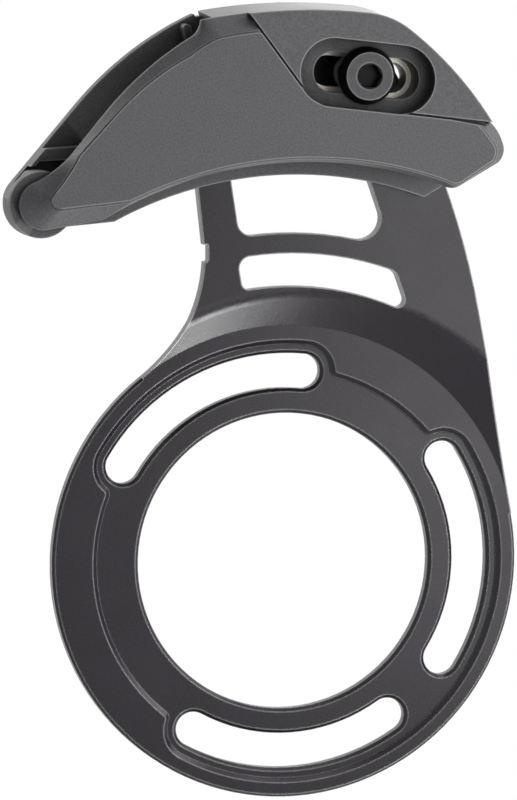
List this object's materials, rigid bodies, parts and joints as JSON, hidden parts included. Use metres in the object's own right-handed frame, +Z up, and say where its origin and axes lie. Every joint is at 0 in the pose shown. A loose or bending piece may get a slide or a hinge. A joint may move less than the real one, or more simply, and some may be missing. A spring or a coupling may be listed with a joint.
{
  "type": "bicycle chain guide",
  "caption": "Dished back plate with a large bore, arc mounting slots and two arms, carrying a two-part moulded chain cage that slides on a clamp bolt.",
  "frame": {"origin": "on the bore axis, in the face that lies against the bicycle frame", "axes": "+X towards the front of the bicycle, +Y towards the frame along the bore axis, +Z up"},
  "size_m": [0.0963, 0.0216, 0.1442],
  "materials": {
    "plate_metal": "black, semi-gloss",
    "cage_nylon": "fine moulded texture",
    "sleeve_metal": "plain, satin",
    "bolt_steel": "black oxide",
    "plain_steel": "zinc plated"
  },
  "bodies": {
    "plate": {"backplate": "plate_metal", "clamp_bolt": "bolt_steel", "clinch_nut": "plain_steel"},
    "guide": {"inner_cage": "cage_nylon", "outer_cage": "cage_nylon", "slot_sleeve": "sleeve_metal", "hinge_pin": "plain_steel"}
  },
  "joints": [
    {"name": "guide_slide", "type": "slide", "parent": "plate", "child": "guide", "axis": [0.9932, 0, -0.1167], "range_m": [-0.006, 0.006]}
  ]
}
